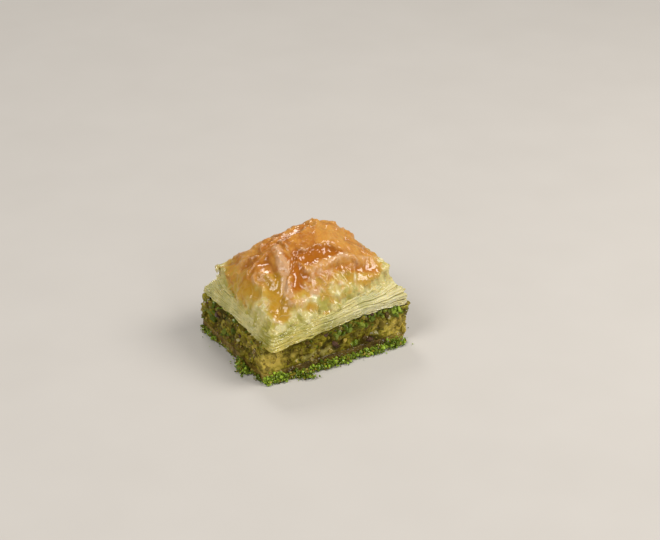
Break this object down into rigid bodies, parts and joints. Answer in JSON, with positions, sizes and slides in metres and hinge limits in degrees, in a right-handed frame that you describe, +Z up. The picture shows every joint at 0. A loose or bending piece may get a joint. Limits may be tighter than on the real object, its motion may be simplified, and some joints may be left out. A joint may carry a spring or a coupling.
{
  "type": "baklava piece",
  "caption": "Square-cut baklava with a domed, crumpled crust of browned, syrup-glazed pastry over a band of chopped pistachio and a thin base of soaked sheets.",
  "frame": {"origin": "middle of the bounding box's bottom face, on the surface the piece rests on", "axes": "+X along the piece's long side, +Y across it, +Z up"},
  "size_m": [0.0544, 0.0466, 0.0365],
  "materials": {
    "soaked_pastry": "syrup-soaked, satin",
    "chopped_pistachio": "moist, matt with a slight sheen",
    "browned_pastry": "glazed with syrup"
  },
  "bodies": {
    "root": {"bottom_pastry": "soaked_pastry", "pistachio_filling": "chopped_pistachio", "top_pastry": "browned_pastry"}
  },
  "joints": []
}
